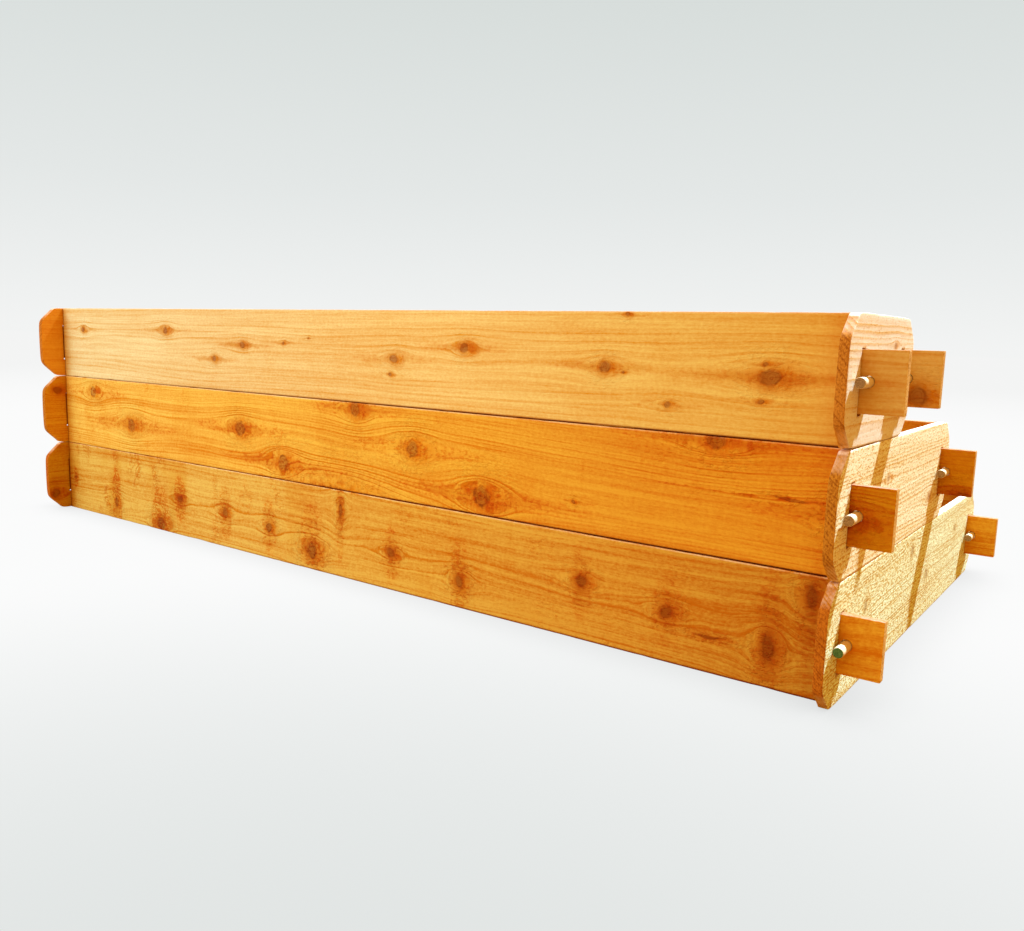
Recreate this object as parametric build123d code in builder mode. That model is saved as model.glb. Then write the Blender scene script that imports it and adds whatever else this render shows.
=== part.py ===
from build123d import *
import os

# Three-tier stepped raised garden bed in cedar boards.
# Each tier is an open frame of two long boards and two side boards. The long
# boards end in tenons that pass through mortises in the side boards, and a
# dowel peg through each tenon locks the corner from outside.
#
# Frame: +X along the long boards, +Z up, the flush back wall towards -Y and
# the steps towards +Y. The origin is on the ground, under the middle of the
# bottom tier.

# Driving dimensions, in millimetres
board_height = 190.5        # width of the sawn board, which is one tier's height
board_thickness = 16.0
inner_length = 2180.0       # between the inner faces of the side boards
side_lengths = {"top": 360.0, "middle": 741.0, "bottom": 1122.0}
tier_levels = {"bottom": 0, "middle": 1, "top": 2}
ear_length = 61.0           # side board beyond the long board's outer face
ear_clip = 37.0             # 45 degree cut at the ear's corners
ear_rounding = 9.0          # softened corners of the cut
tenon_length = 61.0         # tenon beyond the side board's outer face
tenon_height = 90.0
tenon_bottom = 50.25        # above the board's lower edge
mortise_gap_below = 4.5
mortise_gap_above = 1.5
mortise_side_gap = 1.0
peg_diameter = 16.0
peg_length = 95.0
peg_chamfer = 1.2
peg_offset = 10.5           # peg axis beyond the side board's outer face
peg_hole_diameter = 17.6
peg_drop = 0.4              # the peg lies low in its wider hole

# Derived dimensions
tenon_tip_to_tip = inner_length + 2 * (board_thickness + tenon_length)
tenon_centre = tenon_bottom + tenon_height / 2
mortise_bottom = tenon_bottom - mortise_gap_below
mortise_height = tenon_height + mortise_gap_below + mortise_gap_above
mortise_width = board_thickness + 2 * mortise_side_gap
peg_x = inner_length / 2 + board_thickness + peg_offset
back_face = ear_length - side_lengths["bottom"] / 2     # the shared flush wall


def long_board_centres(tier):
    """Y of the middle of the tier's back and front boards."""
    ear_tip = back_face - ear_length
    back = back_face + board_thickness / 2
    front = ear_tip + side_lengths[tier] - ear_length - board_thickness / 2
    return {"back": back, "front": front}


def make_long_board(centre_y, base_z):
    """Board with a shouldered tenon at each end, drilled across for the pegs."""
    with BuildPart() as board:
        with BuildSketch(Plane.XZ.offset(-centre_y)):
            with Locations((0, base_z + board_height / 2)):
                Rectangle(inner_length, board_height)
            with Locations((0, base_z + tenon_centre)):
                Rectangle(tenon_tip_to_tip, tenon_height)
            with Locations((-peg_x, base_z + tenon_centre), (peg_x, base_z + tenon_centre)):
                Circle(peg_hole_diameter / 2, mode=Mode.SUBTRACT)
        extrude(amount=board_thickness / 2, both=True)
    return board


def make_side_board(side, tier, base_z):
    """Upright side board with clipped ears and two mortises for the tenons."""
    direction = 1 if side == "right" else -1
    inner_face = direction * inner_length / 2
    length = side_lengths[tier]
    centre_y = back_face - ear_length + length / 2
    with BuildPart() as board:
        with BuildSketch(Plane.YZ.offset(inner_face)) as outline:
            with Locations((centre_y, base_z + board_height / 2)):
                Rectangle(length, board_height)
            chamfer(outline.vertices(), length=ear_clip)
            fillet(outline.vertices(), radius=ear_rounding)
            for mortise_y in long_board_centres(tier).values():
                with Locations((mortise_y, base_z + mortise_bottom + mortise_height / 2)):
                    Rectangle(mortise_width, mortise_height, mode=Mode.SUBTRACT)
        extrude(amount=direction * board_thickness)
    return board


def make_peg(side, centre_y, base_z):
    """Dowel peg lying across the tenon, just outside the side board."""
    direction = 1 if side == "right" else -1
    axis_z = base_z + tenon_centre - peg_drop
    with BuildPart() as peg:
        with BuildSketch(Plane.XZ.offset(-centre_y)):
            with Locations((direction * peg_x, axis_z)):
                Circle(peg_diameter / 2)
        extrude(amount=peg_length / 2, both=True)
        chamfer(peg.edges().filter_by(GeomType.CIRCLE), length=peg_chamfer)
    return peg


def save(board, name):
    board.part.label = name
    export_step(board.part, f"parts/{name}.step")


os.makedirs("parts", exist_ok=True)

for tier, level in tier_levels.items():
    base_z = level * board_height
    for row, centre_y in long_board_centres(tier).items():
        save(make_long_board(centre_y, base_z), f"{tier}_{row}_board")
        for side in ("left", "right"):
            save(make_peg(side, centre_y, base_z), f"{tier}_{row}_{side}_peg")
    for side in ("left", "right"):
        save(make_side_board(side, tier, base_z), f"{tier}_{side}_side_board")
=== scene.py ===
import math
import random

import bmesh
import bpy
from mathutils import Matrix, Vector, noise


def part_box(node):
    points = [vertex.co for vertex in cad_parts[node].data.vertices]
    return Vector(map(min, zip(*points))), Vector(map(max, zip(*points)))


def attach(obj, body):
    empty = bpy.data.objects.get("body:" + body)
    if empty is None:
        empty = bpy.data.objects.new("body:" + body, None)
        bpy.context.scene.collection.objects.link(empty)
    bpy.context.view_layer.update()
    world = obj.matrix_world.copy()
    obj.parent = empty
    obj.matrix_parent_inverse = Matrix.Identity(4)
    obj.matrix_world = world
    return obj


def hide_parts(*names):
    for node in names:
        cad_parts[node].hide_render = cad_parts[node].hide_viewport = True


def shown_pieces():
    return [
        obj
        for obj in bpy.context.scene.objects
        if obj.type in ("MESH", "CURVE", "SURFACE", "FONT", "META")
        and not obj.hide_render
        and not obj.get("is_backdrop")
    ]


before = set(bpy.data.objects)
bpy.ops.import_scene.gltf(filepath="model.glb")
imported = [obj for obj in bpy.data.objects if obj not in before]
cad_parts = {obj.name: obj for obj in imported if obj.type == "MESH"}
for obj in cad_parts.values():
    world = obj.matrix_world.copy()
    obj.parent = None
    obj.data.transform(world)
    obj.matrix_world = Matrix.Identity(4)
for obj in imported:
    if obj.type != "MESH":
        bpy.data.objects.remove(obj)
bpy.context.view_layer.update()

# Three-tier stepped raised garden bed in cedar. Every board is a gridded plate
# with eased edges and a solid wood material, and every peg is a turned dowel.
# Board space is (along, through, up) in metres, from the board's own centre.

TIERS = ("bottom", "middle", "top")
SIDES = {"left": -1, "right": 1}

# Shape details that a bounding box doesn't give, in metres
MORTISE_SIDE_GAP = 0.001
MORTISE_GAP_BELOW = 0.0045
MORTISE_GAP_ABOVE = 0.0015
EAR_CLIP = 0.037
EAR_ROUNDING = 0.008
EAR_TAPER_LENGTH = 0.067
PEG_HOLE_RADIUS = 0.0088
EDGE_EASING = 0.0013
DOWEL_EASING = 0.0016
WEAR_DEPTH = 0.0005
BRUISE_DEPTH = 0.0016
PAINT_DEPTH = 0.0004

# How finely the meshes are divided
GRID_PITCH = 0.006
SIDE_UP_PITCH = 0.0045
THROUGH_LAYERS = 4
HOLE_SEGMENTS = 40
DOWEL_SEGMENTS = 36
DOWEL_BANDS = 24

# Shares without a unit: how much an ear draws in, and how far a dowel is out of round
EAR_TAPER = 0.6
DOWEL_UNEVENNESS = 0.012

# Waves of the worn faces, in cycles per metre along, through and up
PLANING_WAVES = Vector((5, 5, 14))
FINE_WAVES = Vector((60, 60, 90))
BRUISES = Vector((22, 30, 4))


# ---------------------------------------------------------------- board meshes

def grid_lines(stops, pitch=GRID_PITCH):
    """Line positions that hold every stop, no further apart than the pitch."""
    stops = sorted(set(round(s, 6) for s in stops))
    lines = [stops[0]]
    for low, high in zip(stops, stops[1:]):
        steps = max(1, math.ceil((high - low) / pitch))
        lines += [low + (high - low) * i / steps for i in range(1, steps + 1)]
    return lines


def piece_from(name, mesh):
    """Object in the scene that holds the edited mesh, its faces turned outwards."""
    bmesh.ops.recalc_face_normals(mesh, faces=mesh.faces)
    data = bpy.data.meshes.new(name)
    mesh.to_mesh(data)
    mesh.free()
    piece = bpy.data.objects.new(name, data)
    bpy.context.scene.collection.objects.link(piece)
    return piece


def plate(name, along_lines, up_lines, half_thickness, keeps, shape=lambda along, up: (along, up)):
    """Closed plate from the grid cells that keeps() accepts, its points moved by shape()."""
    mesh = bmesh.new()
    made = {}

    def corner(i, j, layer):
        key = (i, j, layer)
        if key not in made:
            along, up = shape(along_lines[i], up_lines[j])
            through = half_thickness * (2 * layer / THROUGH_LAYERS - 1)
            made[key] = mesh.verts.new((along, through, up))
        return made[key]

    def kept(i, j):
        if not (0 <= i < len(along_lines) - 1 and 0 <= j < len(up_lines) - 1):
            return False
        middle_along = (along_lines[i] + along_lines[i + 1]) / 2
        middle_up = (up_lines[j] + up_lines[j + 1]) / 2
        return keeps(middle_along, middle_up)

    def wall(i0, j0, i1, j1):
        for layer in range(THROUGH_LAYERS):
            mesh.faces.new((corner(i0, j0, layer), corner(i1, j1, layer),
                            corner(i1, j1, layer + 1), corner(i0, j0, layer + 1)))

    for i in range(len(along_lines) - 1):
        for j in range(len(up_lines) - 1):
            if not kept(i, j):
                continue
            for layer in (0, THROUGH_LAYERS):
                mesh.faces.new([corner(i, j, layer), corner(i + 1, j, layer),
                                corner(i + 1, j + 1, layer), corner(i, j + 1, layer)])
            if not kept(i - 1, j):
                wall(i, j, i, j + 1)
            if not kept(i + 1, j):
                wall(i + 1, j, i + 1, j + 1)
            if not kept(i, j - 1):
                wall(i, j, i + 1, j)
            if not kept(i, j + 1):
                wall(i, j + 1, i + 1, j + 1)
    return piece_from(name, mesh)


def skin(mesh, rings):
    """Faces between neighbouring rings of points, where a ring of one point is a tip."""
    for lower, upper in zip(rings, rings[1:]):
        segments = max(len(lower), len(upper))
        for k in range(segments):
            m = (k + 1) % segments
            if len(lower) == 1:
                mesh.faces.new((lower[0], upper[k], upper[m]))
            elif len(upper) == 1:
                mesh.faces.new((lower[k], lower[m], upper[0]))
            else:
                mesh.faces.new((lower[k], lower[m], upper[m], upper[k]))


def apply_modifiers(piece):
    """Turns the piece's modifiers into its mesh."""
    graph = bpy.context.evaluated_depsgraph_get()
    finished = bpy.data.meshes.new_from_object(piece.evaluated_get(graph))
    piece.modifiers.clear()
    piece.data = finished


def ease_edges(piece):
    """Takes the sharpness off every edge of the plate."""
    bevel = piece.modifiers.new("eased_edges", "BEVEL")
    bevel.width = EDGE_EASING
    bevel.segments = 2
    bevel.limit_method = "ANGLE"
    bevel.angle_limit = math.radians(40)
    apply_modifiers(piece)


def drill(piece, centres, radius, reach):
    """Bores a round hole through the plate at each centre."""
    for along, up in centres:
        rod = bmesh.new()
        rings = []
        for through in (-reach, -reach / 2, reach / 2, reach):
            ring = []
            for k in range(HOLE_SEGMENTS):
                angle = math.tau * k / HOLE_SEGMENTS
                ring.append(rod.verts.new((along + radius * math.cos(angle), through,
                                           up + radius * math.sin(angle))))
            rings.append(ring)
        skin(rod, rings)
        rod.faces.new(rings[0])
        rod.faces.new(rings[-1][::-1])
        cutter = piece_from("hole_cutter", rod)
        cut = piece.modifiers.new("hole", "BOOLEAN")
        cut.operation = "DIFFERENCE"
        cut.solver = "EXACT"
        cut.object = cutter
        apply_modifiers(piece)
        bpy.data.objects.remove(cutter)


def weather(piece, seed, half_height, half_thickness, lower_gap, outward):
    """Planing waves and bruised edges, always inwards so that neighbours stay clear.

    lower_gap is how far the outward side of the lower edge is hollowed at its low and high end.
    """
    shift = Vector((seed * 7.13, seed * 3.7, seed * 1.9))
    reach = max(v.co.x for v in piece.data.vertices)
    for v in piece.data.vertices:
        p = v.co
        wave = noise.noise(p * PLANING_WAVES + shift)
        fine = noise.noise(p * FINE_WAVES + shift)
        depth = WEAR_DEPTH * (0.5 + 0.42 * wave + 0.16 * fine)
        through_side = max(-1, min(1, p.y / half_thickness))
        up_side = max(-1, min(1, p.z / half_height))
        knocked = max(0, noise.noise(p * BRUISES - shift) - 0.18)
        bruise = knocked * BRUISE_DEPTH * abs(up_side) ** 12
        p.y -= through_side ** 3 * depth
        p.z -= up_side ** 9 * (depth * 0.7 + bruise)
        if up_side < 0:
            share = (p.x / reach + 1) / 2
            gap = lower_gap[0] * (1 - share) + lower_gap[1] * share
            p.z += gap * abs(up_side) ** 14 * (1 + outward * through_side) / 2


def finish_shading(piece):
    piece.data.shade_smooth()
    piece.data.set_sharp_from_angle(angle=math.radians(42))


def move(piece, offset):
    for v in piece.data.vertices:
        v.co += offset


def tenon_heights(node):
    """Lowest and highest point of the board's tenon, from the CAD piece."""
    _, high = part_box(node)
    tips = [v.co.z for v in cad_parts[node].data.vertices if v.co.x > high.x - 0.001]
    return min(tips), max(tips)


def long_board(name, node, side_node, seed, lower_gap):
    """Board with a shouldered, drilled tenon at each end."""
    low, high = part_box(node)
    centre = (low + high) / 2
    half = (high - low) / 2
    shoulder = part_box(side_node)[0].x - centre.x
    tenon_low, tenon_high = (z - centre.z for z in tenon_heights(node))
    peg_low, peg_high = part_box(node.replace("_board", "_right_peg"))
    peg_centre = (peg_low + peg_high) / 2 - centre
    hole_up = (tenon_low + tenon_high) / 2

    def keeps(along, up):
        return abs(along) < shoulder or tenon_low < up < tenon_high

    piece = plate(name, grid_lines((-half.x, -shoulder, shoulder, half.x)),
                  grid_lines((-half.z, tenon_low, tenon_high, half.z)), half.y, keeps)
    ease_edges(piece)
    weather(piece, seed, half.z, half.y, lower_gap, outward=-1)
    drill(piece, ((-peg_centre.x, hole_up), (peg_centre.x, hole_up)), PEG_HOLE_RADIUS, half.y * 1.5)
    finish_shading(piece)
    move(piece, centre)
    return piece


def side_board(name, node, board_nodes, seed, lower_gap, outward):
    """Upright board with clipped ears and a mortise for each long board's tenon."""
    low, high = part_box(node)
    centre = (low + high) / 2
    half_through, half_along, half_up = (high - low) / 2
    mortises = []
    for board_node in board_nodes:
        board_low, board_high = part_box(board_node)
        tenon_low, tenon_high = tenon_heights(board_node)
        mortises.append((board_low.y - MORTISE_SIDE_GAP - centre.y,
                         board_high.y + MORTISE_SIDE_GAP - centre.y,
                         tenon_low - MORTISE_GAP_BELOW - centre.z,
                         tenon_high + MORTISE_GAP_ABOVE - centre.z))
    ear_root = max(end for _, end, _, _ in mortises)

    def keeps(along, up):
        return not any(start < along < end and lower < up < upper for start, end, lower, upper in mortises)

    def rounded(x):
        """x where it is well above 0, 0 where it is well below, and a curve between."""
        return 0.5 * (x + math.sqrt(x * x + EAR_ROUNDING ** 2))

    def shape(along, up):
        """Pulls the end of the plate back to the clipped ear and draws the ear's edges in."""
        from_edge = half_up - abs(up)
        tip = half_along - rounded(EAR_CLIP - from_edge) + rounded(EAR_CLIP - half_up)
        beyond = (abs(along) - ear_root) / (half_along - ear_root)
        if beyond > 0:
            along = math.copysign(ear_root + beyond * (tip - ear_root), along)
        if abs(along) > half_along - EAR_TAPER_LENGTH:
            past_clip = abs(along) - (half_along - EAR_CLIP)
            up *= 1 - EAR_TAPER * rounded(past_clip) / half_up * (abs(up) / half_up) ** 8
        return along, up

    along_stops = [-half_along, half_along]
    for start, end, _, _ in mortises:
        along_stops += [start, end]
    up_stops = [-half_up, half_up, *mortises[0][2:]]
    piece = plate(name, grid_lines(along_stops), grid_lines(up_stops, SIDE_UP_PITCH),
                  half_through, keeps, shape)
    ease_edges(piece)
    weather(piece, seed, half_up, half_through, lower_gap, outward)
    finish_shading(piece)
    for v in piece.data.vertices:
        v.co = Vector((v.co.y, v.co.x, v.co.z)) + centre
    piece.data.flip_normals()
    return piece


def dowel_peg(name, node, seed):
    """Turned dowel with softened ends, lying along Y."""
    low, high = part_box(node)
    centre = (low + high) / 2
    radius = (high.x - low.x) / 2
    half_length = (high.y - low.y) / 2
    rim = half_length - DOWEL_EASING
    tip = [(-half_length, 0), (-half_length, radius * 0.35), (-half_length, radius * 0.7),
           (-half_length, radius - DOWEL_EASING),
           (-half_length + DOWEL_EASING * 0.35, radius - DOWEL_EASING * 0.3), (-rim, radius)]
    shank = [(2 * rim * k / DOWEL_BANDS - rim, radius) for k in range(1, DOWEL_BANDS)]
    stations = tip + shank + [(-along, r) for along, r in reversed(tip)]
    shift = Vector((seed * 5.3, seed * 2.1, 0))
    mesh = bmesh.new()
    rings = []
    for along, r in stations:
        if r == 0:
            rings.append([mesh.verts.new((0, along, 0))])
            continue
        ring = []
        for k in range(DOWEL_SEGMENTS):
            angle = math.tau * k / DOWEL_SEGMENTS
            point = Vector((math.cos(angle), along * 12, math.sin(angle))) + shift
            uneven = r * (1 - DOWEL_UNEVENNESS * (1 + noise.noise(point)))
            ring.append(mesh.verts.new((uneven * math.cos(angle), along, uneven * math.sin(angle))))
        rings.append(ring)
    skin(mesh, rings)
    piece = piece_from(name, mesh)
    finish_shading(piece)
    move(piece, centre)
    return piece


# ------------------------------------------------------------------- materials

class Wiring:
    """Short names for adding and joining shader nodes."""

    def __init__(self, tree):
        self.tree = tree

    def node(self, kind, **settings):
        node = self.tree.nodes.new(kind)
        for key, value in settings.items():
            setattr(node, key, value)
        return node

    def feed(self, socket, value):
        if isinstance(value, bpy.types.NodeSocket):
            self.tree.links.new(value, socket)
        else:
            socket.default_value = value

    def math(self, operation, *values, clamp=False):
        node = self.node("ShaderNodeMath", operation=operation, use_clamp=clamp)
        for socket, value in zip(node.inputs, values):
            self.feed(socket, value)
        return node.outputs[0]

    def plus(self, first, *others):
        for other in others:
            first = self.math("ADD", first, other)
        return first

    def minus(self, first, second):
        return self.math("SUBTRACT", first, second)

    def times(self, first, *others):
        for other in others:
            first = self.math("MULTIPLY", first, other)
        return first

    def vector(self, operation, *values):
        node = self.node("ShaderNodeVectorMath", operation=operation)
        for socket, value in zip(node.inputs, values):
            self.feed(socket, value)
        return node.outputs["Value" if operation in ("LENGTH", "DOT_PRODUCT") else "Vector"]

    def split(self, vector):
        node = self.node("ShaderNodeSeparateXYZ")
        self.feed(node.inputs[0], vector)
        return node.outputs

    def join(self, x, y, z):
        node = self.node("ShaderNodeCombineXYZ")
        for socket, value in zip(node.inputs, (x, y, z)):
            self.feed(socket, value)
        return node.outputs[0]

    def noise(self, place, scale, detail=2.0, roughness=0.5, output="Fac"):
        """Noise of the place stretched by a scale for each axis, in cycles per metre."""
        node = self.node("ShaderNodeTexNoise")
        self.feed(node.inputs["Vector"], self.vector("MULTIPLY", place, scale))
        self.feed(node.inputs["Scale"], 1.0)
        self.feed(node.inputs["Detail"], detail)
        self.feed(node.inputs["Roughness"], roughness)
        return node.outputs[output]

    def step(self, value, start, end, low=0.0, high=1.0, curve="SMOOTHSTEP"):
        """The value's way from start to end, as low to high, and level beyond both."""
        node = self.node("ShaderNodeMapRange", interpolation_type=curve)
        for socket, number in zip(node.inputs, (value, start, end, low, high)):
            self.feed(socket, number)
        return node.outputs[0]

    def blend(self, share, first, second, mode="MIX"):
        node = self.node("ShaderNodeMix", data_type="RGBA", blend_type=mode)
        self.feed(node.inputs[0], share)
        self.feed(node.inputs[6], first)
        self.feed(node.inputs[7], second)
        return node.outputs[2]

    def stain(self, colour, share, factor):
        """The colour, multiplied by a factor for each channel where the share is 1."""
        return self.blend(share, colour, (*factor, 1), "MULTIPLY")

    def grey(self, value):
        node = self.node("ShaderNodeCombineColor")
        for socket in node.inputs:
            self.feed(socket, value)
        return node.outputs[0]

    def ramp(self, value, stops):
        """Colour of the value along stops of (position, colour)."""
        node = self.node("ShaderNodeValToRGB")
        elements = node.color_ramp.elements
        while len(elements) < len(stops):
            elements.new(0.5)
        for element, (position, colour) in zip(elements, stops):
            element.position = position
            element.color = (*colour, 1)
        self.feed(node.inputs[0], value)
        return node.outputs[0]

    def group(self, tree, **inputs):
        node = self.node("ShaderNodeGroup", node_tree=tree)
        for name, value in inputs.items():
            self.feed(node.inputs[name], value)
        return node.outputs

    def bump(self, shader, height, strength, distance):
        """Relief of the shader's surface."""
        node = self.node("ShaderNodeBump")
        node.inputs["Strength"].default_value = strength
        node.inputs["Distance"].default_value = distance
        self.feed(node.inputs["Height"], height)
        self.feed(shader.inputs["Normal"], node.outputs[0])


def new_group(name, inputs, outputs):
    tree = bpy.data.node_groups.new(name, "ShaderNodeTree")
    for label, kind in inputs.items():
        tree.interface.new_socket(label, in_out="INPUT", socket_type=f"NodeSocket{kind}")
    for label, kind in outputs.items():
        tree.interface.new_socket(label, in_out="OUTPUT", socket_type=f"NodeSocket{kind}")
    wires = Wiring(tree)
    source = wires.node("NodeGroupInput").outputs
    sink = wires.node("NodeGroupOutput").inputs
    return tree, wires, source, sink


def new_material(name):
    material = bpy.data.materials.new(name)
    material.use_nodes = True
    return material, Wiring(material.node_tree), material.node_tree.nodes["Principled BSDF"]


def knot_group():
    """One branch running through the board, added to the fields of the branches before it.

    Shift bends the grain around it. Near is 1 at its rim and less inside. Glow is the resin
    stain about it and Tail its longest mark, shaped by Squeeze: drawn out along the grain on
    a clean board, upright where the planer tore it.
    """
    tree, w, given, result = new_group(
        "knot", {"Place": "Vector", "Centre": "Vector", "Radius": "Float", "Stretch": "Vector",
                 "Shift": "Float", "Near": "Float", "Glow": "Float", "Tail": "Float",
                 "Squeeze": "Vector"},
        {"Shift": "Float", "Near": "Float", "Glow": "Float", "Tail": "Float"})
    radius = w.join(*[given["Radius"]] * 3)
    offset = w.vector("SUBTRACT", given["Place"], given["Centre"])
    scaled = w.vector("DIVIDE", w.vector("MULTIPLY", offset, given["Stretch"]), radius)

    def distance(squeeze, leaning=0.0):
        moved = w.vector("SUBTRACT", scaled, (leaning, 0.0, 0.0))
        return w.vector("LENGTH", w.vector("MULTIPLY", moved, squeeze))

    near = distance((1.0, 1.0, 1.0))
    spread = w.math("MAXIMUM", distance((0.28, 0.6, 0.60)), 1.0)
    height = w.vector("DOT_PRODUCT", offset, (0.0, 0.0, 1.0))
    push = w.math("DIVIDE", height, w.times(spread, spread))
    glow = w.step(distance((0.62, 1.0, 0.90), 0.8), 2.8, 0.6)
    tail = w.step(distance(given["Squeeze"]), 1.4, 0.2)
    w.feed(result["Shift"], w.minus(given["Shift"], push))
    w.feed(result["Near"], w.math("MINIMUM", given["Near"], near))
    w.feed(result["Glow"], w.math("MAXIMUM", given["Glow"], glow))
    w.feed(result["Tail"], w.math("MAXIMUM", given["Tail"], tail))
    return tree


# What each mark does to the colour under it, for each channel
PALE_STREAK = (1.08, 1.34, 2.60)
DEEP_STREAK = (0.86, 0.56, 0.14)
RESIN = (0.86, 0.50, 0.08)
FLAME = (0.84, 0.62, 0.30)
SWIRL = (0.80, 0.60, 0.30)
HEART = (0.74, 0.60, 0.56)
DARK_HEART = (0.62, 0.42, 0.24)
GREY_HEART = (0.86, 0.98, 1.60)
KNOT_RIM = (0.42, 0.26, 0.15)
TORN_GRAIN = (1.04, 1.00, 0.92)
TORN_CURL = (0.86, 0.46, 0.11)
DAMP_BAND = (0.93, 0.78, 0.48)
SAW_MARK = (0.73, 0.47, 0.20)
PORE = (0.50, 0.34, 0.14)


# How strongly each noise of the grain pales or deepens the clear wood
GRAIN_WEIGHTS = {"strand": 1.25, "fibre": 0.80, "streak": 1.25, "tone": 0.90, "chatter": 0.40, "fuzz": 1.10}


def growth_rings(w, given, place):
    """Late wood of the rings around the pith, fainter where a ring lies flat in the face."""
    spot = w.split(w.vector("SUBTRACT", given["Place"], given["Pith"]))
    across = w.plus(spot[2], given["Shift"])
    reach = w.vector("LENGTH", w.join(0.0, spot[1], across))
    slow = w.times(w.minus(w.noise(place, (0.9, 4, 7), 2), 0.5), 0.034)
    quick = w.times(w.minus(w.noise(place, (9, 40, 50), 2), 0.5), 0.0026)
    reach = w.plus(reach, w.plus(slow, quick))
    phase = w.math("DIVIDE", reach, given["Ring gap"])
    share = w.math("FRACT", phase)
    luck = w.node("ShaderNodeTexWhiteNoise", noise_dimensions="1D")
    w.feed(luck.inputs["W"], w.math("FLOOR", phase))
    late = w.times(w.step(share, 0.25, 0.86), w.step(share, 1.0, 0.90))
    late = w.times(late, w.step(luck.outputs["Value"], 0.0, 1.0, 0.05, 1.0))
    steep = w.math("DIVIDE", w.math("ABSOLUTE", across), reach)
    return w.times(late, w.step(steep, 0.0, 0.35, 0.1, 1.0))


def grain_noises(w, given, place):
    """Fibre, strands and tone follow the grain as it bends around the knots; chatter doesn't."""
    bent = w.vector("ADD", place, w.join(0.0, 0.0, given["Shift"]))
    return {"fibre": w.noise(bent, (26, 900, 900), 3, 0.7),
            "strand": w.noise(bent, (4.5, 230, 230), 3, 0.7),
            "streak": w.noise(bent, (1.5, 60, 75), 3, 0.6),
            "tone": w.noise(bent, (1.7, 7, 9), 3),
            "chatter": w.noise(place, (170, 30, 60), 2, 0.6),
            "fuzz": w.noise(bent, (150, 200, 330), 2, 0.7)}


def clear_wood(w, given, late, grain):
    """Colour between the marks, from pale streaks to deep ones."""
    lively = w.times(w.step(given["Near"], 7.5, 1.5), w.minus(1.0, given["Knot depth"]))
    half_sawn = w.times(given["Sawn"], w.minus(1.0, given["Sawn"]))
    bands = w.plus(w.times(lively, 0.8), w.times(half_sawn, 1.5))
    depth = w.times(w.minus(late, 0.22), w.plus(bands, 0.38))
    for name, weight in GRAIN_WEIGHTS.items():
        depth = w.plus(depth, w.times(w.minus(grain[name], 0.5), weight))
    plain = w.minus(1.0, w.times(given["Sawn"], 0.55))
    calm = w.minus(1.0, w.times(w.step(given["Near"], 3.4, 1.2), given["Knot depth"], 0.75))
    depth = w.times(depth, given["Contrast"], plain, calm)
    depth = w.math("ADD", depth, 0.42, clamp=True)
    streaks = w.blend(depth, (*PALE_STREAK, 1), (*DEEP_STREAK, 1))
    return w.blend(1.0, given["Tone"], streaks, "MULTIPLY")


def torn_grain(w, given, place, near, patch, colour):
    """Torn grain in upright bands and about the knots: the colour, the curls and the lifted share."""
    band = w.times(w.step(w.noise(place, (13, 1, 6), 2, 0.6), 0.50, 0.64), w.step(patch, 0.42, 0.60))
    about = w.times(w.step(given["Tail"], 0.0, 0.30), w.step(patch, 0.32, 0.47))
    banded = w.times(band, given["Torn"])
    torn = w.times(given["Torn"], w.math("MAXIMUM", banded, about))
    beside = w.times(w.step(near, 6.5, 3.0), w.step(patch, 0.32, 0.47))
    lifted = w.times(given["Torn"], w.math("MAXIMUM", banded, beside))
    fleck = w.step(w.noise(place, (105, 170, 190), 2, 0.6), 0.48, 0.62)
    loop = w.math("ABSOLUTE", w.minus(w.noise(place, (72, 130, 108), 2, 0.6), 0.5))
    loop = w.step(loop, 0.095, 0.03)
    curl = w.blend(w.step(given["Torn"], 0.78, 0.95), w.grey(fleck), w.grey(loop))
    upright = w.step(w.noise(place, (9, 1, 3), 2, 0.6), 0.48, 0.66)
    colour = w.stain(colour, w.times(upright, given["Torn"], given["Torn"]), DAMP_BAND)
    colour = w.stain(colour, torn, TORN_GRAIN)
    return w.stain(colour, w.times(torn, curl), TORN_CURL), curl, lifted


def saw_marks(w, given, place, late, colour):
    """Short dark dashes that gather on the late wood: the colour, the dashes and the marks."""
    dash = w.noise(place, (100, 290, 290), 2, 0.75)
    gather = w.times(w.plus(w.times(late, 0.45), 0.72), given["Sawn"])
    limit = w.minus(0.70, w.times(gather, 0.26))
    mark = w.times(w.step(w.minus(dash, limit), -0.02, 0.06), given["Sawn"])
    return w.stain(colour, mark, SAW_MARK), dash, mark


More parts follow.
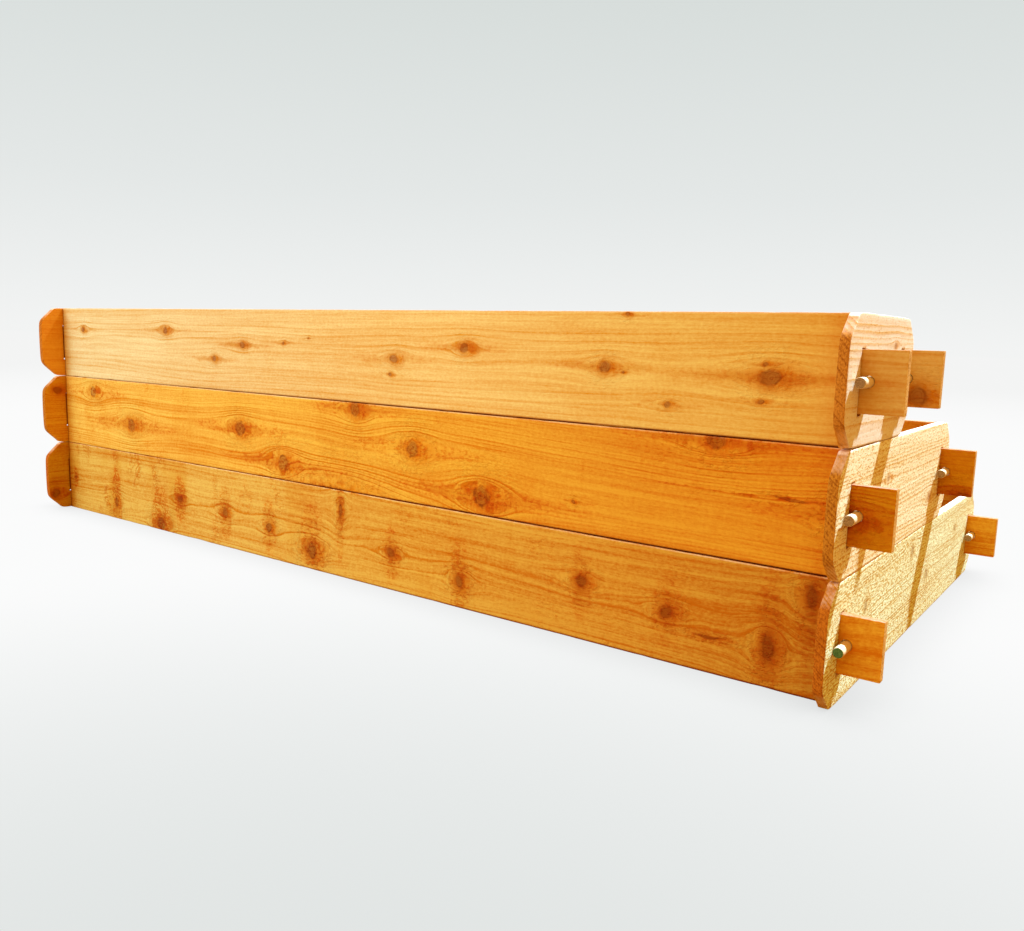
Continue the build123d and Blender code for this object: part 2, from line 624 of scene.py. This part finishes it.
def knot_marks(w, given, place, near, patch, streak, colour):
    """Resin, grain swirling close round, a ringed and speckled heart, and a broken dark rim."""
    bold = w.minus(1.0, w.times(given["Sawn"], 0.65))
    clear = w.times(bold, w.minus(1.0, given["Knot depth"]))
    cloud = w.noise(place, (90, 60, 150), 3, 0.7)
    glow = w.math("MULTIPLY", given["Glow"], w.times(w.minus(cloud, 0.12), 2.2), clamp=True)
    wisp = w.math("MULTIPLY", given["Tail"], w.times(w.minus(streak, 0.22), 2.4), clamp=True)
    colour = w.stain(colour, w.times(wisp, bold), FLAME)
    outside = w.step(near, 0.75, 1.15, 0.25, 1.0)
    colour = w.stain(colour, w.times(glow, bold, outside), RESIN)
    swirl = w.step(w.math("SINE", w.times(near, 12.0)), -0.4, 1.0)
    swirl = w.times(swirl, w.step(near, 3.2, 1.1), w.step(patch, 0.34, 0.62))
    colour = w.stain(colour, w.times(swirl, clear, 0.7), SWIRL)
    inside = w.times(w.step(near, 1.25, 0.85), bold)
    faded = w.minus(1.0, w.times(given["Knot depth"], 0.6))
    colour = w.stain(colour, w.times(inside, faded), HEART)
    colour = w.stain(colour, w.times(w.step(near, 2.1, 0.6), given["Knot depth"]), DARK_HEART)
    speck = w.noise(place, (260, 60, 260), 3, 0.7)
    heart = w.times(w.step(near, 1.1, 0.4, 0.0, 0.9), w.step(speck, 0.35, 0.62))
    colour = w.stain(colour, w.times(heart, clear), GREY_HEART)
    core_ring = w.step(w.math("SINE", w.times(near, 17.0)), 0.0, 1.0)
    colour = w.stain(colour, w.times(faded, core_ring, inside, 0.75), SWIRL)
    rim = w.times(w.step(near, 0.65, 0.92), w.step(near, 1.25, 1.0))
    rim = w.times(rim, w.step(w.noise(place, (60, 60, 60), 1), 0.42, 0.68))
    crisp = w.times(bold, w.minus(0.85, w.times(given["Knot depth"], 0.65)))
    return w.stain(colour, w.times(rim, crisp), KNOT_RIM), rim


def end_grain(w, given, place, late, colour):
    """Cut ends are darker, with rings of open pores: the colour and the pores."""
    pore = w.noise(place, (60, 420, 300), 2, 0.7)
    pored = w.math("ADD", w.times(late, 0.6), w.times(w.minus(pore, 0.42), 3.0), clamp=True)
    return w.blend(given["End"], colour, w.stain(given["End tone"], pored, PORE)), pore


def cedar_group():
    """Solid cedar: growth rings, clear grain, torn grain, saw marks, knots, end grain and relief."""
    tree, w, given, result = new_group(
        "cedar", {"Place": "Vector", "Seed": "Vector", "Pith": "Vector", "Ring gap": "Float",
                  "Shift": "Float", "Near": "Float", "Glow": "Float", "Tail": "Float",
                  "Sawn": "Float", "Torn": "Float", "Contrast": "Float", "Knot depth": "Float",
                  "End": "Float", "Tone": "Color", "End tone": "Color"},
        {"Color": "Color", "Height": "Float"})
    place = w.vector("ADD", given["Place"], given["Seed"])
    late = growth_rings(w, given, place)
    grain = grain_noises(w, given, place)
    colour = clear_wood(w, given, late, grain)
    ripple = w.times(w.minus(w.noise(place, (90, 60, 90), 3), 0.5), 0.7)
    near = w.plus(given["Near"], ripple)
    patch = w.noise(place, (22, 1, 17), 4, 0.75)
    colour, curl, lifted = torn_grain(w, given, place, near, patch, colour)
    colour, dash, mark = saw_marks(w, given, place, late, colour)
    colour, rim = knot_marks(w, given, place, near, patch, grain["streak"], colour)
    colour, pore = end_grain(w, given, place, late, colour)
    w.feed(result["Color"], colour)
    # fibre and late wood stand proud, sawn and torn faces are hairy, knots have a raised rim
    rough = w.math("MAXIMUM", given["Sawn"], lifted)
    relief = w.times(late, 0.22)
    for part, height in ((grain["strand"], 0.35), (grain["fibre"], 0.18), (grain["chatter"], 0.20),
                         (w.times(dash, rough), 1.2), (w.times(curl, lifted), 4.2), (mark, -0.9),
                         (rim, 0.5), (w.times(pore, given["End"]), 0.8)):
        relief = w.plus(relief, w.times(part, height))
    w.feed(result["Height"], relief)
    return tree


KNOT = knot_group()
CEDAR = cedar_group()


def long_board_tone(w, place, facing_z, node, half):
    """Tone of a long board along its length, with painted shade at the corners, on the tenons, at the tenon
    roots, in the seams and on covered top faces, a painted highlight along the top edge, and a painted
    sunlit paleness on faces turned up.
    """
    tier, row = node.split("_")[:2]
    along, _, up = w.split(place)
    share = w.step(along, -half.x, half.x, curve="LINEAR")
    # wood tone with painted sheen: paler and whiter towards the left end
    tone = w.ramp(share, BOARD_TONES_AND_SHEEN[tier])
    from_tip = w.minus(half.x, w.math("ABSOLUTE", along))
    # painted shade: darker in the corner next to the side board's ear
    tone = w.stain(tone, w.step(from_tip, 0.125, 0.080, 0.0, 0.55), CORNER_SHADE)
    # painted shade: the tenons take a deeper tone because they receive less light
    tone = w.blend(w.step(from_tip, 0.075, 0.060), tone, (*TENON_SHADE_TONES[tier], 1))
    # painted shade: darker at the tenon's root, by the mortise
    root = w.times(w.step(from_tip, 0.030, 0.061), w.step(from_tip, 0.090, 0.078))
    tone = w.stain(tone, w.times(root, 0.4), CORNER_SHADE)
    # painted shade in the joint where the board meets the side board
    joint = w.times(w.step(from_tip, 0.0835, 0.0765), w.step(from_tip, 0.068, 0.0715))
    tone = w.stain(tone, w.times(joint, w.step(share, 0.0, 1.0, 0.9, 0.45)), SEAM_SHADE)
    # painted shadow along the lower edge, in the seam with the board below
    seam_shadow = w.step(w.plus(up, half.z), 0.0048, 0.0014)
    tone = w.stain(tone, w.times(seam_shadow, w.step(share, 0.1, 0.8, 0.15, 1.0)), SEAM_SHADE)
    # painted highlight: a pale strip along the top edge
    edge_highlight = w.step(w.minus(half.z, up), 0.0034, 0.0012, 0.0, 0.50)
    tone = w.blend(edge_highlight, tone, (*TOP_EDGE_HIGHLIGHT, 1))
    # painted light: faces turned up take the pale sunlit tone
    upward = w.step(facing_z, 0.4, 0.85, 0.0, 0.8)
    covered = row == "back" and tier != "top"
    if not covered:
        return w.blend(upward, tone, (*SUNLIT_TONE, 1))
    # painted light: only the bare tenon tops take the pale sunlit tone
    bare = w.step(from_tip, 0.078, 0.070)
    tone = w.blend(w.times(upward, bare), tone, (*SUNLIT_TONE, 1))
    # painted shade on top faces covered by the board above
    hidden = w.math("SUBTRACT", w.step(facing_z, 0.75, 0.95), bare, clamp=True)
    return w.stain(tone, hidden, HIDDEN_EDGE_SHADE)


def side_board_tone(w, facing_z, outer, tier):
    """Tone of a side board: planed and warm inside with painted shade deepening each lower tier, sawn and
    pale outside, and a painted sunlit paleness on top.
    """
    tone = w.blend(outer, (*INNER_TONES[tier], 1), (*OUTER_TONES[tier], 1))
    # painted light: faces turned up take the pale sunlit tone
    return w.blend(w.step(facing_z, 0.4, 0.85, 0.0, 0.8), tone, (*SUNLIT_TONE, 1))


def knot_fields(w, place, node):
    """Fields of all the knots in a board, whose outlines wander a little."""
    wander = w.noise(place, (30, 10, 30), output="Color")
    wander = w.vector("SUBTRACT", wander, (0.5, 0.5, 0.5))
    place = w.vector("ADD", place, w.vector("MULTIPLY", wander, (0.012, 0.0, 0.012)))
    squeeze = TAIL_SQUEEZES[node.split("_")[0]]
    fields = {"Shift": 0.0, "Near": 9.0, "Glow": 0.0, "Tail": 0.0}
    for along, up, radius, stretch in KNOTS.get(node, []):
        out = w.group(KNOT, Place=place, Centre=(along, 0, up), Radius=radius,
                      Stretch=(1 / stretch, 0.12, 1), Squeeze=squeeze, **fields)
        fields = {field: out[field] for field in fields}
    return fields


def cedar_material(name, node, seed, pith, outward=0):
    """The wood of one board. outward is the X direction of a side board's sawn face, 0 for a long board."""
    tier = node.split("_")[0]
    low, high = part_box(node)
    half = (high - low) / 2
    material, w, shader = new_material(name)
    coordinates = w.node("ShaderNodeTexCoord")
    place = w.vector("SUBTRACT", coordinates.outputs["Object"], tuple((low + high) / 2))
    facing_x, facing_y, facing_z = w.split(coordinates.outputs["Normal"])
    knot_depth = FRONT_KNOT_DEPTH
    sawn, torn = 0.0, 0.0
    if outward:
        x, y, z = w.split(place)
        place = w.join(y, x, z)
        outer = w.step(w.times(facing_x, outward), -0.2, 0.4)
        tone = side_board_tone(w, facing_z, outer, tier)
        sawn = w.times(outer, SAWN[tier])
    else:
        tone = long_board_tone(w, place, facing_z, node, half)
        share = w.step(w.split(place)[0], -half.x, half.x, curve="LINEAR")
        torn = w.step(share, 0.0, 1.0, *TORN[tier])
        if "back" in node:
            knot_depth = w.step(share, 0.0, 1.0, *KNOT_DEPTHS[tier])
    end = w.step(w.math("ABSOLUTE", facing_y if outward else facing_x), 0.55, 0.8)
    fields = knot_fields(w, place, node)
    draws = random.Random(seed)
    offset = tuple(draws.uniform(-40, 40) for _ in range(3))
    ring_gap = SIDE_RING_GAPS[tier] if outward else RING_GAPS[tier]
    # painted light: a long board's end grain takes the pale sunlit tone
    end_tone = END_TONES[tier] if outward else SUNLIT_TONE
    wood = w.group(CEDAR, **{"Place": place, "Seed": offset, "Pith": (0, *pith), "Ring gap": ring_gap,
                             "Sawn": sawn, "Torn": torn, "Contrast": CONTRASTS[tier],
                             "Knot depth": knot_depth, "End": end, "Tone": tone,
                             "End tone": (*end_tone, 1), **fields})
    w.bump(shader, wood["Height"], 0.6, 0.0008)
    w.feed(shader.inputs["Base Color"], wood["Color"])
    w.feed(shader.inputs["Roughness"], w.step(wood["Height"], 0.0, 1.2, 0.60, 0.80))
    shader.inputs["Specular IOR Level"].default_value = 0.08
    return material


def dowel_material():
    """Pale close-grained hardwood, with rings on its sawn ends."""
    material, w, shader = new_material("dowel_wood")
    coordinates = w.node("ShaderNodeTexCoord")
    place = coordinates.outputs["Object"]
    fibre = w.noise(place, (900, 18, 900), 3, 0.6)
    tone = w.noise(place, (60, 6, 60), 2)
    share = w.math("ADD", w.times(fibre, 0.6), w.times(tone, 0.5), clamp=True)
    colour = w.blend(share, (0.86, 0.70, 0.46, 1), (0.60, 0.38, 0.17, 1))
    end = w.step(w.math("ABSOLUTE", w.split(coordinates.outputs["Normal"])[1]), 0.6, 0.85)
    ring = w.math("FRACT", w.times(w.noise(place, (110, 8, 140), 2), 9.0))
    end_colour = w.blend(ring, (0.48, 0.31, 0.15, 1), (0.17, 0.085, 0.03, 1))
    w.feed(shader.inputs["Base Color"], w.blend(end, colour, end_colour))
    w.feed(shader.inputs["Roughness"], w.step(fibre, 0.3, 0.7, 0.45, 0.65))
    w.bump(shader, fibre, 0.4, 0.0003)
    return material


def paint_material():
    """Thin green paint brushed on a peg's sawn end."""
    material, w, shader = new_material("green_end_paint")
    place = w.node("ShaderNodeTexCoord").outputs["Object"]
    patch = w.noise(place, (420, 420, 420), 3, 0.6)
    colour = w.blend(w.step(patch, 0.35, 0.7), (0.030, 0.115, 0.035, 1), (0.10, 0.24, 0.07, 1))
    w.feed(shader.inputs["Base Color"], colour)
    w.feed(shader.inputs["Roughness"], w.step(patch, 0.3, 0.7, 0.35, 0.6))
    return material


# ------------------------------------------------------------------ the boards

# Knots: along, up, radius, and how far each is drawn out along the board, where 1 is round
KNOTS = {
    "top_back_board": [
        (-0.981, 0.036, 0.006, 1.1), (-0.584, 0.042, 0.008, 1.1), (-0.276, 0.013, 0.0065, 1.2),
        (-0.384, -0.023, 0.0065, 1.1), (-0.130, 0.022, 0.003, 1.2), (0.206, -0.001, 0.008, 1.1),
        (0.198, -0.033, 0.0035, 1.2), (-0.047, 0.034, 0.002, 1.2), (0.389, 0.026, 0.008, 1.1),
        (0.694, 0.003, 0.008, 1.1), (0.729, -0.004, 0.0025, 1.2), (0.977, -0.001, 0.011, 1.3),
        (0.968, 0.020, 0.0035, 1.2), (0.811, -0.052, 0.0045, 1.2), (0.967, -0.036, 0.0035, 1.4),
        (0.733, 0.089, 0.003, 1.2)],
    "middle_back_board": [
        (-0.942, 0.057, 0.013, 1.0), (-0.755, -0.020, 0.016, 1.0), (-0.289, 0.010, 0.015, 1.0),
        (0.098, 0.082, 0.015, 0.8), (-0.135, -0.056, 0.017, 1.0), (0.260, 0.014, 0.015, 1.0),
        (0.03, -0.122, 0.030, 1.6), (0.437, -0.060, 0.018, 1.0), (0.641, -0.042, 0.003, 1.2),
        (0.900, 0.090, 0.012, 1.3), (1.022, 0.012, 0.0022, 12.0), (1.103, -0.006, 0.013, 1.0)],
    "bottom_back_board": [
        (-0.840, -0.049, 0.013, 0.6), (-1.056, -0.004, 0.004, 1.2), (-0.629, -0.077, 0.013, 1.1),
        (-0.540, -0.001, 0.008, 1.1), (-0.353, -0.009, 0.009, 1.0), (-0.187, -0.021, 0.009, 1.0),
        (0.052, 0.050, 0.015, 0.30), (-0.039, -0.051, 0.015, 0.9), (0.204, -0.017, 0.008, 1.1),
        (0.387, -0.041, 0.011, 0.8), (0.663, 0.011, 0.009, 1.0), (0.829, -0.010, 0.0085, 1.1),
        (0.905, -0.035, 0.0018, 9.0), (1.002, -0.031, 0.018, 0.45), (1.062, 0.062, 0.016, 0.5)],
    "top_front_board": [(1.134, -0.027, 0.013, 1.0), (0.62, 0.02, 0.009, 1.2), (-0.12, -0.04, 0.007, 1.2),
                        (-0.55, 0.03, 0.010, 1.2), (-0.93, -0.01, 0.006, 1.2), (0.27, 0.05, 0.005, 1.2)],
    "middle_front_board": [(1.150, -0.048, 0.012, 1.1), (0.75, 0.03, 0.008, 1.2), (0.33, -0.05, 0.012, 1.1),
                           (-0.22, 0.02, 0.007, 1.2), (-0.66, -0.03, 0.011, 1.1), (-0.98, 0.05, 0.006, 1.2)],
    "bottom_front_board": [(0.91, 0.01, 0.011, 1.2), (0.48, -0.03, 0.006, 1.2), (0.07, 0.04, 0.013, 1.1),
                           (-0.36, -0.05, 0.008, 1.2), (-0.81, 0.02, 0.012, 1.1)],
    "bottom_right_side_board": [(-0.365, 0.027, 0.008, 0.8), (-0.068, 0.060, 0.007, 1.2),
                                (0.071, -0.010, 0.008, 1.2), (0.33, 0.04, 0.006, 1.4)],
    "middle_right_side_board": [(-0.561, -0.014, 0.004, 2.0), (-0.10, 0.03, 0.005, 1.4),
                                (0.22, -0.04, 0.007, 1.4), (0.43, 0.01, 0.012, 1.2)],
    "top_right_side_board": [(0.06, 0.05, 0.004, 1.3)],
    "bottom_left_side_board": [(-0.542, -0.050, 0.011, 1.0), (-0.18, 0.03, 0.010, 1.3),
                               (0.24, -0.02, 0.012, 1.3)],
    "middle_left_side_board": [(-0.335, 0.055, 0.009, 1.1), (0.10, -0.03, 0.009, 1.3)],
    "top_left_side_board": [(0.05, -0.03, 0.006, 1.3)],
}
# Where each tier's pith lies from the centre of its back board: through, mirrored in front, and up
PITHS = {"top": (-0.075, -0.015), "middle": (-0.060, -0.020), "bottom": (0.070, 0.030)}
# A side board's pith lies inside the bed and below the board, higher with each tier
SIDE_PITH_THROUGH = 0.30
SIDE_PITH_UP = -0.34
SIDE_PITH_RISE = 0.03
# Growth ring width of each tier's boards
RING_GAPS = {"top": 0.0048, "middle": 0.0042, "bottom": 0.0050}
SIDE_RING_GAPS = {"top": 0.0060, "middle": 0.0050, "bottom": 0.0040}
# How far each tier's grain goes from pale to deep
CONTRASTS = {"top": 0.70, "middle": 1.05, "bottom": 1.30}
# How dark and plain the knots are, for the back boards at their left and right end
KNOT_DEPTHS = {"top": (0.20, 0.45), "middle": (0.10, 0.10), "bottom": (0.25, 0.90)}
FRONT_KNOT_DEPTH = 0.60
# A knot's longest mark reaches furthest along the axis with the smallest number
TAIL_SQUEEZES = {"top": (0.085, 1.0, 1.05), "middle": (0.085, 1.0, 1.05), "bottom": (0.38, 1.0, 0.14)}
# How rough the saw left the outside of each tier's side boards
SAWN = {"top": 0.50, "middle": 0.85, "bottom": 1.0}
# How much of each tier's long boards the planer tore, at their left and right end
TORN = {"top": (0.35, 0.35), "middle": (0.65, 0.55), "bottom": (1.0, 0.50)}
# How far a lower edge has drawn up from the seam: a back board's at its left and right end,
# a side board's at its back and front end
SEAM_GAPS = {"top": (0.0003, 0.0014), "middle": (0.0003, 0.0019), "bottom": (0.0, 0.0)}
SIDE_SEAM_GAPS = {"top": (0.0025, 0.0), "middle": (0.0, 0.0), "bottom": (0.0, 0.0)}
# First seed of each kind of board
LONG_SEED = 10
SIDE_SEED = 30
# Mean tone of each kind of face. A long board's tone changes from its left end to its right; its paler,
# whiter left end is painted sheen
BOARD_TONES_AND_SHEEN = {
    "top": ((0.0, (0.76, 0.68, 0.285)), (0.35, (0.804, 0.6242, 0.2142)), (0.65, (0.8585, 0.6343, 0.171)),
            (0.82, (0.8069, 0.5437, 0.104)), (1.0, (0.715, 0.405, 0.041))),
    "middle": ((0.0, (0.7976, 0.5589, 0.08472)), (0.35, (0.8243, 0.4967, 0.05185)),
               (0.68, (0.8131, 0.4326, 0.02862)), (0.83, (0.73, 0.317, 0.0147)),
               (1.0, (0.7128, 0.2887, 0.009245))),
    "bottom": ((0.0, (0.6513, 0.4245, 0.05862)), (0.35, (0.7284, 0.4729, 0.07138)),
               (0.62, (0.7232, 0.406, 0.0404)), (0.82, (0.6577, 0.3106, 0.02253)),
               (1.0, (0.5384, 0.2306, 0.01192))),
}
# Painted shade: the deeper tone of each tier's tenons
TENON_SHADE_TONES = {"top": (0.690, 0.395, 0.070), "middle": (0.5842, 0.215, 0.00264),
               "bottom": (0.7938, 0.3748, 0.01824)}
# Inner faces are planed and warm; their darkening with each lower tier is painted shade
INNER_TONES = {"top": (0.78, 0.318, 0.0166), "middle": (0.69, 0.304, 0.0115),
               "bottom": (0.576, 0.272, 0.0092)}
OUTER_TONES = {"top": (0.76, 0.570, 0.250), "middle": (0.84, 0.685, 0.268), "bottom": (0.80, 0.765, 0.300)}
END_TONES = {"top": (0.60, 0.240, 0.028), "middle": (0.575, 0.238, 0.022), "bottom": (0.56, 0.180, 0.012)}
# painted highlight along the long boards' top edges
TOP_EDGE_HIGHLIGHT = (0.98, 0.72, 0.34)
# painted light: the pale tone of faces turned up, as if sunlit
SUNLIT_TONE = (0.92, 0.70, 0.42)
# painted shade in corners and at tenon roots
CORNER_SHADE = (0.86, 0.60, 0.25)
# painted shade in the seams and joints
SEAM_SHADE = (0.34, 0.10, 0.05)
# painted shade on covered top faces
HIDDEN_EDGE_SHADE = (0.62, 0.28, 0.14)


def install(piece, node, body, materials):
    for material in materials:
        piece.data.materials.append(material)
    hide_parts(node)
    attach(piece, body)


def build_tier(tier, level):
    body = f"{tier}_tier"
    through, up = PITHS[tier]
    for row, side in (("back", 1), ("front", -1)):
        node = f"{tier}_{row}_board"
        seed = LONG_SEED + level * 2 + (row == "front")
        gap = SEAM_GAPS[tier] if row == "back" else (0, 0)
        piece = long_board(f"cedar_{node}", node, f"{tier}_right_side_board", seed, gap)
        material = cedar_material(f"cedar_{node}", node, seed, (side * through, up))
        install(piece, node, body, [material])
    for side, sign in SIDES.items():
        node = f"{tier}_{side}_side_board"
        seed = SIDE_SEED + level * 2 + (side == "right")
        tenons = [f"{tier}_back_board", f"{tier}_front_board"]
        piece = side_board(f"cedar_{node}", node, tenons, seed, SIDE_SEAM_GAPS[tier], sign)
        pith = (-SIDE_PITH_THROUGH * sign, SIDE_PITH_RISE * level + SIDE_PITH_UP)
        material = cedar_material(f"cedar_{node}", node, seed, pith, sign)
        install(piece, node, body, [material])


def paint_outer_end(piece, end):
    """Gives the faces at the peg's outer end the second material."""
    for face in piece.data.polygons:
        if face.center.y < end + PAINT_DEPTH:
            face.material_index = 1


def build_pegs(tier, level, wood, paint):
    for row in ("back", "front"):
        for side in SIDES:
            node = f"{tier}_{row}_{side}_peg"
            piece = dowel_peg(f"dowel_{node}", node, level * 4 + len(node))
            install(piece, node, node, [wood, paint])
            if node == "bottom_back_right_peg":
                paint_outer_end(piece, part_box(node)[0].y)


# --------------------------------------------------------- camera, light, floor

CAMERA_PLACE = (1.455, -1.786, 0.526)
CAMERA_HEADING = 0.6353
CAMERA_DIP = 0.1446
CAMERA_LEAN = 0.0266
LENS = 31.18
# The dome's light from the left and from the right
DOME_LEFT = (1.45, 1.40, 1.15)
DOME_RIGHT = (1.05, 0.56, 0.08)
# The backdrop by height above the horizon
BACKDROP = ((0.0, (0.89, 0.90, 0.895)), (0.15, (0.775, 0.803, 0.796)), (0.34, (0.68, 0.723, 0.708)))
TOWARD_SUN = (0.23, 0.60, 1.0)
KEY_POWER = 14.8
KEY_COLOUR = (0.52, 0.79, 1.0)
SOFT_KEY_POWER = 2.4
SOFT_KEY_COLOUR = (0.85, 0.97, 1.0)
FILL_POWER = 40
FLOOR_REACH = 60
FLOOR_TONE = (0.965, 0.968, 0.967)
FLOOR_FAR_TONE = (0.90, 0.905, 0.90)
FLOOR_DIM_TONE = (0.74, 0.77, 0.76)
FLOOR_DIM_PLACE = (1.15, -1.65, 0.0)


def set_camera():
    """View from behind the bed's right end, at the height of the top tier."""
    camera = bpy.data.objects.new("camera", bpy.data.cameras.new("camera"))
    bpy.context.scene.collection.objects.link(camera)
    camera.data.sensor_width = 36.0
    camera.data.lens = LENS
    camera.data.clip_end = 200
    turn = (Matrix.Rotation(CAMERA_HEADING, 4, "Z")
            @ Matrix.Rotation(math.pi / 2 - CAMERA_DIP, 4, "X")
            @ Matrix.Rotation(CAMERA_LEAN, 4, "Z"))
    camera.matrix_world = Matrix.Translation(CAMERA_PLACE) @ turn
    bpy.context.scene.camera = camera


def sun(name, power, colour, pieces):
    """High sun from the front that rakes the right end and lights only the given pieces."""
    light = bpy.data.lights.new(name, "SUN")
    light.energy = power
    light.color = colour
    light.angle = math.radians(1.4)
    lamp = bpy.data.objects.new(name, light)
    lamp.rotation_euler = Vector(TOWARD_SUN).to_track_quat("Z", "Y").to_euler()
    bpy.context.scene.collection.objects.link(lamp)
    lit = bpy.data.collections.new(f"lit_by_{name}")
    for piece in pieces:
        lit.objects.link(piece)
    lamp.light_linking.receiver_collection = lit


def area_light(name, place, aim, size, power):
    light = bpy.data.lights.new(name, "AREA")
    light.shape = "RECTANGLE"
    light.size, light.size_y = size
    light.energy = power
    lamp = bpy.data.objects.new(name, light)
    lamp.location = place
    lamp.rotation_euler = (Vector(aim) - Vector(place)).to_track_quat("-Z", "Y").to_euler()
    bpy.context.scene.collection.objects.link(lamp)


def floor_material():
    """Pale sweep that glows for the camera, with a painted soft contact shadow and a painted darker patch in
    front of the camera; it reflects less light than it shows.
    """
    material, w, glossy = new_material("floor")
    w.tree.nodes.remove(glossy)
    place = w.node("ShaderNodeTexCoord").outputs["Object"]
    far = w.step(w.vector("LENGTH", place), 3.0, 12.0)
    tint = w.blend(far, (*FLOOR_TONE, 1), (*FLOOR_FAR_TONE, 1))
    # painted shade: a soft darker patch on the floor around FLOOR_DIM_PLACE
    from_dim = w.vector("LENGTH", w.vector("SUBTRACT", place, FLOOR_DIM_PLACE))
    tint = w.blend(w.step(from_dim, 1.75, 0.15), tint, (*FLOOR_DIM_TONE, 1))
    shade = w.node("ShaderNodeAmbientOcclusion", samples=8)
    shade.inputs["Distance"].default_value = 0.16
    contact = w.step(shade.outputs["AO"], 0.10, 0.95, 0.80, 1.0)
    glow = w.node("ShaderNodeEmission")
    w.feed(glow.inputs["Color"], w.blend(1.0, tint, w.grey(contact), "MULTIPLY"))
    matt = w.node("ShaderNodeBsdfDiffuse")
    matt.inputs["Color"].default_value = (0.62, 0.48, 0.28, 1)
    mix = w.node("ShaderNodeMixShader")
    w.feed(mix.inputs[0], w.node("ShaderNodeLightPath").outputs["Is Camera Ray"])
    w.feed(mix.inputs[1], matt.outputs[0])
    w.feed(mix.inputs[2], glow.outputs[0])
    w.feed(w.tree.nodes["Material Output"].inputs["Surface"], mix.outputs[0])
    return material


def set_floor():
    mesh = bpy.data.meshes.new("floor")
    corners = [(-1, -1), (1, -1), (1, 1), (-1, 1)]
    mesh.from_pydata([(x * FLOOR_REACH, y * FLOOR_REACH, 0) for x, y in corners], [], [(0, 1, 2, 3)])
    floor = bpy.data.objects.new("floor", mesh)
    bpy.context.scene.collection.objects.link(floor)
    mesh.materials.append(floor_material())
    floor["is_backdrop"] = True


def set_dome():
    """Pale backdrop for the camera, and a soft dome, bright on the left and amber on the right."""
    world = bpy.data.worlds.new("studio")
    world.use_nodes = True
    bpy.context.scene.world = world
    w = Wiring(world.node_tree)
    background = world.node_tree.nodes["Background"]
    toward = w.split(w.node("ShaderNodeTexCoord").outputs["Generated"])
    seen = w.ramp(toward[2], BACKDROP)
    dome = w.blend(w.step(toward[0], -0.6, 0.3), (*DOME_LEFT, 1), (*DOME_RIGHT, 1))
    camera_ray = w.node("ShaderNodeLightPath").outputs["Is Camera Ray"]
    w.feed(background.inputs["Color"], w.blend(camera_ray, dome, seen))
    background.inputs["Strength"].default_value = 1.0


def set_lights():
    """Full sun on the right side boards and the pegs, a softer one on the rest, a fill from the left."""
    sunny = [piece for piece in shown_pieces() if "right_side_board" in piece.name or "peg" in piece.name]
    shaded = [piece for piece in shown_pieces() if piece not in sunny]
    sun("key", KEY_POWER, KEY_COLOUR, sunny)
    sun("soft_key", SOFT_KEY_POWER, SOFT_KEY_COLOUR, shaded)
    area_light("fill", (-2.6, -3.2, 1.6), (-0.6, -0.5, 0.3), (2.5, 2.0), FILL_POWER)


for level, tier in enumerate(TIERS):
    build_tier(tier, level)
dowel, green_paint = dowel_material(), paint_material()
for level, tier in enumerate(TIERS):
    build_pegs(tier, level, dowel, green_paint)
set_camera()
bpy.context.scene.view_settings.view_transform = "Standard"
set_floor()
set_dome()
set_lights()
